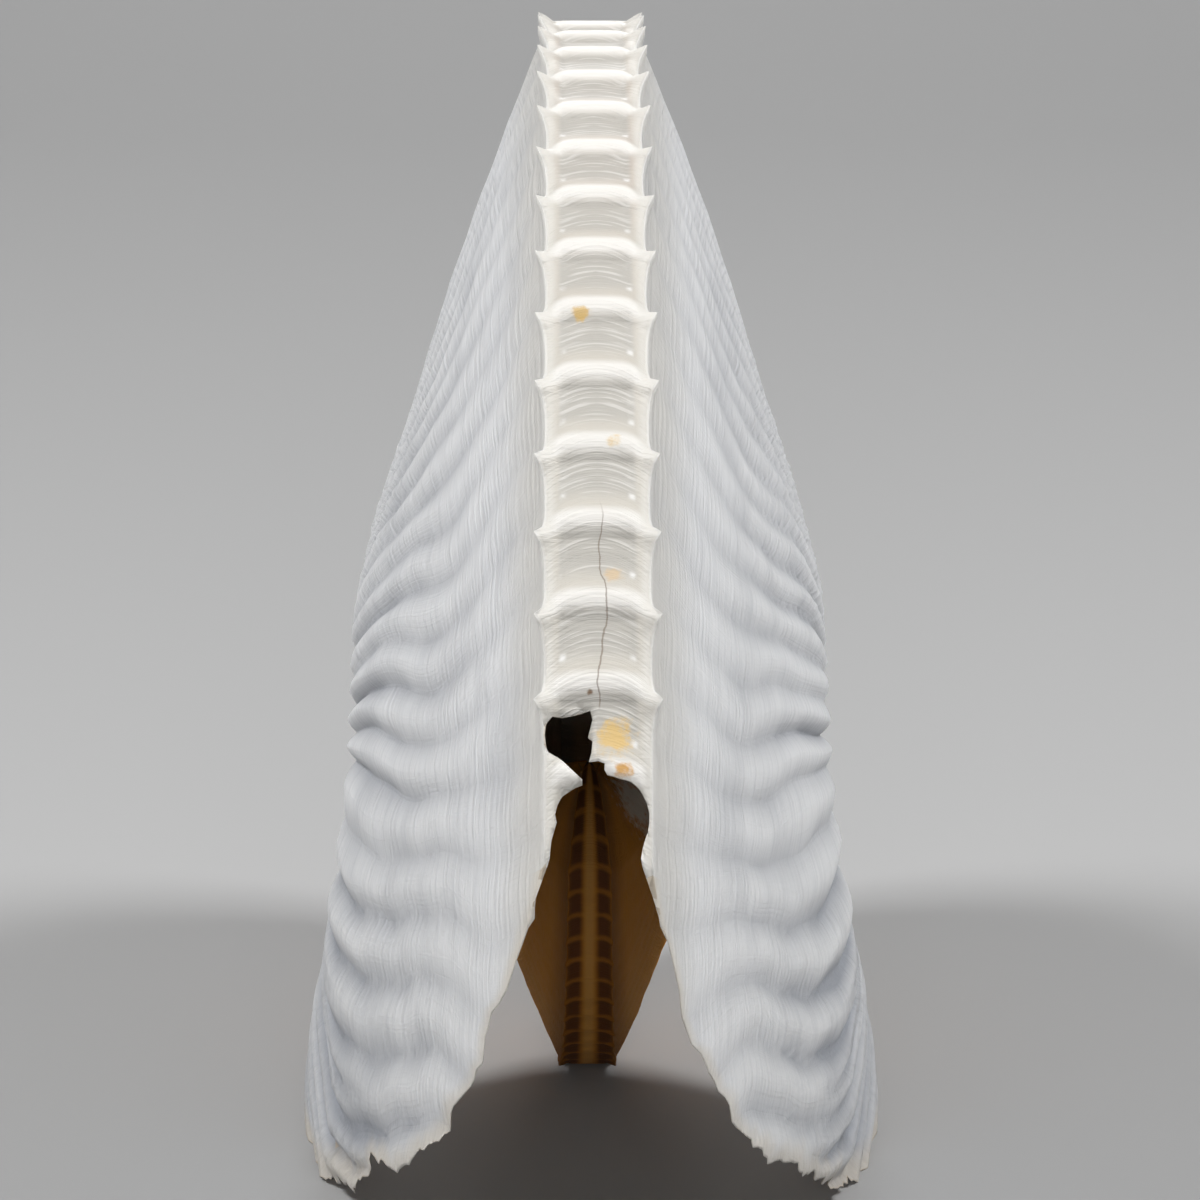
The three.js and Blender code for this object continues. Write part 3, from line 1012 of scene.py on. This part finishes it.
@dataclass(frozen=True)
class ShellFinish:
    """Colours of the shell and its shine. The crack's lengths are metres and its angles degrees."""

    flank: tuple = (0.86, 0.865, 0.875)
    # Painted shade: the ears are coloured darker than the flank for the shade they lie in.
    ear: Tint = Tint((0.70, 0.70, 0.695), 0.75)
    streak: Tint = Tint((0.34, 0.355, 0.39), 0.2)
    # Painted shade: grey-blue laid into the grooves between the ribs.
    painted_groove_shade: Tint = Tint((0.34, 0.355, 0.39))
    smudge: Tint = Tint((0.34, 0.355, 0.39), 0.25)
    lip: Tint = Tint((0.62, 0.54, 0.42), 0.5)
    margin: Tint = Tint((0.66, 0.64, 0.595), 0.8)

    keel: tuple = (0.56, 0.53, 0.475)
    # A warm tint, and painted shade that tones down the upper keel where it faces the lights.
    blush_and_shade: Tint = Tint((0.50, 0.44, 0.385))
    # Painted light: the keel behind is brightened towards the flank colour where it lies in shade.
    painted_fill_far_keel: Tint = Tint((0.86, 0.865, 0.875), 0.7)
    window: Tint = Tint((0.42, 0.405, 0.375), 0.75)
    arc: Tint = Tint((0.78, 0.76, 0.725), 0.4)
    bar: Tint = Tint((0.78, 0.76, 0.725), 0.9)
    # Painted highlight: white spots at the lower corners of the windows.
    painted_glint: Tint = Tint((0.95, 0.95, 0.95), 0.5)

    tan: tuple = (0.60, 0.235, 0.016)
    stripe: Tint = Tint((0.50, 0.24, 0.052))
    haze: Tint = Tint((0.50, 0.24, 0.052), 0.6)
    patch: Tint = Tint((0.07, 0.018, 0.003), 0.95)
    dark_edge: Tint = Tint((0.07, 0.018, 0.003), 0.55)

    # Painted shade: the inner face is darker and warmer than the outer wall, for the shade inside the
    # chamber.
    inside: Tint = Tint((0.5, 0.43, 0.34), 0.9)
    stains: tuple = (
        Stain(Tint((0.62, 0.40, 0.10), 0.8), -26.0, -1.0, 0.75),
        Stain(Tint((0.68, 0.50, 0.24), 0.8), -17.6, 1.1, 0.6),
        Stain(Tint((0.62, 0.44, 0.24), 0.6), -10.3, 1.0, 0.8),
        Stain(Tint((0.20, 0.11, 0.05), 0.9), -4.3, -0.5, 0.28),
        Stain(Tint((0.66, 0.45, 0.16), 0.85), -2.2, 1.0, 1.6),
        Stain(Tint((0.62, 0.32, 0.06), 0.9), -0.6, 1.6, 0.7),
        Stain(Tint((0.86, 0.79, 0.69), 0.9), -341.0, 4.0, 3.4, 0.55),
    )
    stain_ragged: float = 1.6
    crack: Tint = Tint((0.16, 0.11, 0.07), 0.6)
    crack_x: float = 0.00022
    crack_scale: float = 260.0
    crack_wander: float = 0.0016
    crack_edges: tuple = (0.00008, 0.00002)
    crack_top: tuple = (-14.5, -12.5)
    crack_foot: tuple = (-3.4, -3.8)

    roughness: float = 0.42
    specular: float = 0.3
    bump_strength: float = 0.75
    bump_distance: float = 0.0004
    subsurface: float = 0.08
    subsurface_scale: float = 0.0012
    subsurface_radius: tuple = (1.0, 0.9, 0.8)

    def material(self, shell: Shell) -> bpy.types.Material:
        """Builds the shell's material from the mesh's own attributes and Object coordinates.

        Args:
            shell: the shell, for where its bars and stains lie.

        Returns:
            The material.
        """
        g = Graph("shell_finish")
        t = WallTerms(g, shell.bar_arch)
        young = g.mix(t.on_keel, self._flank(g, t), self._keel(g, t))
        colour = g.mix(t.old, young, self._early_whorl(g, t))
        spots = [(self._spot(g, shell, stain, t), stain.tint) for stain in self.stains]
        # Painted shade on the inner face, not on the old whorls.
        inner_face = t.inside * (1.0 - t.old)
        colour = g.layers(colour, *spots, (self._crack(g, t), self.crack), (inner_face, self.inside))
        lines = t.streaks * 0.8 * (1.0 - t.on_keel) + t.arcs * 0.3 * t.on_keel
        height = t.growth * 0.15 + lines + t.grain * 0.12
        bump = g.node("ShaderNodeBump", None, Strength=self.bump_strength, Distance=self.bump_distance,
                      Height=height)
        rough = self.roughness + t.cloud * 0.16 - t.on_keel * 0.06 + t.old * 0.3
        shader = g.node(
            "ShaderNodeBsdfPrincipled", {"subsurface_method": "RANDOM_WALK"}, Base_Color=colour,
            Roughness=rough, Normal=bump.outputs["Normal"], Subsurface_Weight=self.subsurface,
            Subsurface_Scale=self.subsurface_scale, Subsurface_Radius=self.subsurface_radius,
            Specular_IOR_Level=self.specular)
        g.node("ShaderNodeOutputMaterial", None, Surface=shader.outputs[0])
        return g.material

    def _flank(self, g: Graph, t: WallTerms) -> Term:
        """Colour of the flanks: white ribs, grey streaks, painted shade in the grooves and on the ears, and a
        warm lip.

        Args:
            g: the finish's graph.
            t: the shared terms.

        Returns:
            The colour.
        """
        # Where the painted shade of the ears lies, from -20 to 60 degrees of age.
        on_ear = t.age.step(-20.0, 60.0)
        streaks = t.streaks.step(0.42, 0.72)
        beside_keel = t.share.step(0.84, 0.985)
        # How strong the painted shade in the grooves is: most on the lower flank and the ears, none at the
        # pinhole, little near the keel.
        shade = t.share.step(1.15, 0.2) * t.share.step(0.0, 0.32) + t.age.step(15.0, 45.0) * 0.75
        smudges = t.cloud.step(0.45, 0.75)
        at_lip = (t.rim + t.cloud * 0.05).step(0.055, 0.02)
        return g.layers(self.flank, (on_ear, self.ear), (streaks, self.streak), (beside_keel, self.margin),
                        (t.groove * shade, self.painted_groove_shade), (smudges, self.smudge), (at_lip, self.lip))

    def _keel(self, g: Graph, t: WallTerms) -> Term:
        """Colour of the keel: a warm tint with painted shade on top, painted light behind, darker windows
        with fine arcs, pale bars, painted highlights and margins.

        Args:
            g: the finish's graph.
            t: the shared terms.

        Returns:
            The colour.
        """
        # Warm tint with painted shade over the upper keel, from -10 to -50 degrees of age, patchy with the
        # cloud noise.
        blush_and_shade_mask = t.age.step(-10.0, -50.0) * t.cloud.step(0.25, 0.7)
        # Where the painted light on the keel behind lies, beyond -80 degrees of age.
        far = t.age.step(-80.0, -130.0)
        arcs = t.arcs.step(0.52, 0.66) * t.window
        bars = t.from_bar.step(0.19, 0.06)
        # Painted highlights at the lower corners of the windows, broken up by the grain noise.
        corner = t.across.step(0.56, 0.66) * t.across.step(0.76, 0.68)
        painted_glints = corner * t.ahead.step(0.6, 0.67) * t.ahead.step(0.75, 0.68) * t.grain.step(0.3, 0.6)
        edges = t.across.step(0.74, 0.92)
        return g.layers(self.keel, (blush_and_shade_mask, self.blush_and_shade), (far, self.painted_fill_far_keel), (t.window, self.window),
                        (arcs, self.arc), (bars, self.bar), (painted_glints, self.painted_glint), (edges, self.margin))

    def _early_whorl(self, g: Graph, t: WallTerms) -> Term:
        """Colour of the early whorl: tan with haze, and dark patches on each side of a pale stripe.

        Args:
            g: the finish's graph.
            t: the shared terms.

        Returns:
            The colour.
        """
        rungs = (t.from_bar + (t.grain - 0.5) * 0.2).step(0.2, 0.02)
        patches = t.across.step(0.1, 0.5) * t.across.step(1.5, 0.8) * (1.0 - rungs * 0.32)
        middle = t.across.step(0.4, 0.1)
        haze = t.cloud.step(0.35, 0.75)
        beside_keel = t.share.step(0.84, 1.0)
        keel = g.layers(self.tan, (middle, self.stripe), (patches, self.patch))
        flank = g.layers(self.tan, (haze, self.haze), (beside_keel, self.dark_edge))
        return g.mix(t.on_keel, flank, keel)

    def _spot(self, g: Graph, shell: Shell, stain: Stain, t: WallTerms) -> Term:
        """Mask of a stain: near its middle, with a ragged edge from noise.

        Args:
            g: the finish's graph.
            shell: the shell, for where the stain lies.
            stain: the stain.
            t: the shared terms.

        Returns:
            The mask, from 0 to 1.
        """
        angle = np.array(math.radians(stain.angle))
        radius = stain.share * shell.coil.keel_radius(angle)
        middle = shell.coil.rest(shell.coil.place(np.array(stain.x), radius, angle))
        apart = g.node("ShaderNodeVectorMath", {"operation": "DISTANCE"}, i0=t.place, i1=tuple(middle))
        ragged = g.noise(t.place, t.ragged_scale, 4.0, 0.65)
        reach = g.term(apart, "Value") / (stain.radius * MM) + (ragged - 0.5) * self.stain_ragged
        return reach.step(1.0, 0.35) * t.cloud.step(-0.2, 0.5)

    def _crack(self, g: Graph, t: WallTerms) -> Term:
        """Mask of the hairline crack along the middle of the keel above the hole.

        Args:
            g: the finish's graph.
            t: the shared terms.

        Returns:
            The mask, from 0 to 1.
        """
        axes = g.node("ShaderNodeSeparateXYZ", None, Vector=t.place)
        wander = (g.noise(t.place, self.crack_scale, 4.0) - 0.5) * self.crack_wander
        off = (g.term(axes, "X") - self.crack_x - wander).absolute()
        reach = t.age.step(*self.crack_top) * t.age.step(*self.crack_foot)
        return off.step(*self.crack_edges) * reach * t.on_keel


@dataclass(frozen=True)
class Lamp:
    """A square soft light: its name, where it stands and its side in metres, and its power in watts."""

    name: str
    spot: tuple
    size: float
    power: float


@dataclass(frozen=True)
class Studio:
    """Floor, lights and camera, which stands where the photograph was taken from.

    The camera is placed about the upright coil. Its lengths are millimetres and its yaw radians. The lengths
    of the lights and the floor are metres.
    """

    coil: Coil
    distance: float = 450.0
    frame_width: float = 90.0
    height: float = 11.4
    sideways: float = 0.9
    yaw: float = 0.0105
    sensor_width: float = 36.0
    near_clip: float = 0.01

    floor_colour: tuple = (0.43, 0.43, 0.43)
    floor_roughness: float = 0.8
    floor_half_width: float = 1.6
    floor_front: float = -1.2
    floor_back: float = 0.5
    curve_radius: float = 0.5
    curve_start: float = 0.1
    back_wall: tuple = (0.7, 1.6)

    sky: tuple = (0.85, 0.86, 0.88)
    sky_strength: float = 0.08
    aim: tuple = (0.0, 0.0, 0.04)
    lamps: tuple = (
        Lamp("soft_left", (-0.46, -0.15, 0.66), 0.2, 4.5),
        Lamp("soft_right", (0.46, -0.11, 0.63), 0.2, 4.0),
        Lamp("soft_front", (0.0, -0.85, 0.24), 0.3, 1.9),
        Lamp("soft_back", (0.0, 0.8, 0.5), 0.3, 1.1),
    )

    def camera(self) -> None:
        """Places the camera: back from the coil axis, turned by the yaw, then leaned with the shell."""
        data = bpy.data.cameras.new("camera")
        data.sensor_width = self.sensor_width
        data.lens = self.sensor_width * self.distance / self.frame_width
        data.clip_start = self.near_clip
        camera = bpy.data.objects.new("camera", data)
        look = Matrix.Rotation(math.pi / 2, 4, "X")
        spot = Matrix.Translation((self.sideways, -self.distance, self.height))
        turn = Matrix.Rotation(-self.yaw, 4, "Z")
        place = self.coil.matrix() @ turn @ spot @ look
        place.translation *= MM
        camera.matrix_world = place
        bpy.context.scene.collection.objects.link(camera)
        bpy.context.scene.camera = camera

    def floor(self) -> None:
        """Makes a wide pale floor that is flat, then curves up behind the shell, then rises as a wall."""
        turn = np.linspace(self.curve_start, math.pi / 2, 16)
        flat = np.linspace(self.floor_front, self.floor_back, 8)
        wall = np.linspace(*self.back_wall, 4)
        run = np.concatenate([flat, self.floor_back + self.curve_radius * np.sin(turn),
                              np.full(len(wall), self.floor_back + self.curve_radius)])
        rise = np.concatenate([np.zeros(len(flat)), self.curve_radius * (1.0 - np.cos(turn)), wall])
        x = np.linspace(-self.floor_half_width, self.floor_half_width, 3)
        points = np.stack(np.broadcast_arrays(x[None, :], run[:, None], rise[:, None]), axis=-1)
        number = np.arange(points[..., 0].size).reshape(points.shape[:2])
        quads = np.stack([number[:-1, :-1], number[:-1, 1:], number[1:, 1:], number[1:, :-1]], axis=-1)
        mesh = bpy.data.meshes.new("floor")
        mesh.from_pydata(points.reshape(-1, 3), [], quads.reshape(-1, 4))
        mesh.polygons.foreach_set("use_smooth", np.ones(len(mesh.polygons), bool))
        floor = bpy.data.objects.new("floor", mesh)
        g = Graph("floor_finish")
        shader = g.node("ShaderNodeBsdfPrincipled", None, Base_Color=(*self.floor_colour, 1.0),
                        Roughness=self.floor_roughness)
        g.node("ShaderNodeOutputMaterial", None, Surface=shader.outputs[0])
        mesh.materials.append(g.material)
        bpy.context.scene.collection.objects.link(floor)

    def light(self, lamp: Lamp) -> None:
        """Adds a square soft light that faces the shell.

        Args:
            lamp: which light.
        """
        data = bpy.data.lights.new(lamp.name, "AREA")
        data.size = lamp.size
        data.energy = lamp.power
        light = bpy.data.objects.new(lamp.name, data)
        light.location = lamp.spot
        aim = Vector(self.aim) - Vector(lamp.spot)
        light.rotation_euler = aim.to_track_quat("-Z", "Y").to_euler()
        bpy.context.scene.collection.objects.link(light)

    def lights(self) -> None:
        """Two soft lights above the flanks, weak ones in front and behind, and an even, faint sky."""
        for lamp in self.lamps:
            self.light(lamp)
        world = bpy.data.worlds.new("studio")
        world.use_nodes = True
        sky = world.node_tree.nodes["Background"]
        sky.inputs["Color"].default_value = (*self.sky, 1.0)
        sky.inputs["Strength"].default_value = self.sky_strength
        bpy.context.scene.world = world
        bpy.context.scene.view_settings.view_transform = "Standard"


def save_sizes() -> None:
    """Brings the view layer up to date."""
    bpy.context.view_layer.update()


def main() -> None:
    """Builds the shell and its studio in order."""
    logging.basicConfig(level=logging.INFO)
    shell = Shell()
    wall = shell.build()
    wall.data.materials.append(ShellFinish().material(shell))
    LOG.info("%s: %d points, %d faces", wall.name, len(wall.data.vertices), len(wall.data.polygons))
    studio = Studio(shell.coil)
    studio.floor()
    studio.lights()
    studio.camera()
    save_sizes()


if __name__ == "__main__":
    main()
